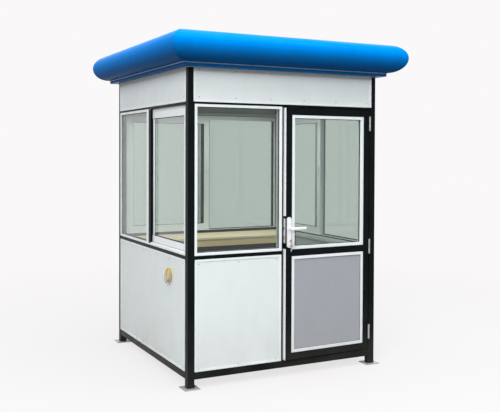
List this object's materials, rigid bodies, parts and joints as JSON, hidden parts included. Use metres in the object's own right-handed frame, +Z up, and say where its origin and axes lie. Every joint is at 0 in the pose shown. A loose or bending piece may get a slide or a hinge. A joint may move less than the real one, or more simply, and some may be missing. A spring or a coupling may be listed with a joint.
{
  "type": "security guard booth",
  "caption": "Square steel-framed guard booth with white panels, windows on all sides, a glazed door, an inside desk and a rounded blue roof.",
  "frame": {"origin": "on the ground at the middle of the booth, under the centre of the roof", "axes": "+Z up, the door wall faces -Y, +X is to the right when looking at the door wall from outside"},
  "size_m": [1.844, 1.844, 2.388],
  "materials": {
    "black_steel": "gloss",
    "white_panel": "satin",
    "grey_panel": "satin",
    "white_aluminium": "satin",
    "glass": "clear",
    "galvanised_steel": "matte",
    "bare_steel": "satin",
    "floor_board": "matte",
    "ceiling_board": "matte",
    "roof_blue": "gloss",
    "desk_wood": "satin",
    "desk_edge": "satin",
    "edge_strip": "satin",
    "satin_lock": "satin",
    "key_steel": "satin",
    "gland_plastic": "matte",
    "yellow_cable": "satin"
  },
  "bodies": {
    "cabin": {"post_front_left": "black_steel", "post_front_right": "black_steel", "post_back_left": "black_steel", "post_back_right": "black_steel", "base_plates": "galvanised_steel", "bottom_rails": "black_steel", "sill_rails": "black_steel", "head_rails": "black_steel", "door_jamb": "black_steel", "window_mullions": "black_steel", "floor_panel": "floor_board", "ceiling_panel": "ceiling_board", "roof_deck": "roof_blue", "roof_cap": "roof_blue", "fascia_front": "white_panel", "fascia_left": "white_panel", "fascia_right": "white_panel", "fascia_back": "white_panel", "lower_panel_front": "white_panel", "lower_panel_left": "white_panel", "lower_panel_right": "white_panel", "lower_panel_back": "white_panel", "front_window_frame": "white_aluminium", "front_window_glass": "glass", "left_window_frame": "white_aluminium", "left_sliding_sash": "white_aluminium", "left_window_glass": "glass", "right_window_frame": "white_aluminium", "right_sliding_sash": "white_aluminium", "right_window_glass": "glass", "back_window_frame": "white_aluminium", "back_sliding_sash": "white_aluminium", "back_window_glass": "glass", "window_latches": "satin_lock", "panel_trims": "white_aluminium", "door_stop": "black_steel", "desk_top": "desk_wood", "desk_apron": "desk_edge", "hinges_frame_side": "bare_steel", "cable_gland": "gland_plastic", "cable_coil": "yellow_cable"},
    "door": {"door_leaf_frame": "black_steel", "door_beads": "white_aluminium", "door_glass": "glass", "door_lower_panel": "grey_panel", "door_edge_strip": "edge_strip", "door_lock": "satin_lock", "door_keys": "key_steel", "hinges_door_side": "bare_steel"},
    "lever": {"lever_handle": "satin_lock"}
  },
  "joints": [
    {"name": "door_hinge", "type": "hinge", "parent": "cabin", "child": "door", "pos_m": [0.697, -0.757, 1], "axis": [0, 0, 1], "range_deg": [-1.9, 110]},
    {"name": "lever_turn", "type": "hinge", "parent": "door", "child": "lever", "pos_m": [0.00215, -0.77305, 1.043], "axis": [-0.0332, 0.9995, 0], "range_deg": [0, 45], "stiffness_Nm_per_rad": 1.5}
  ]
}
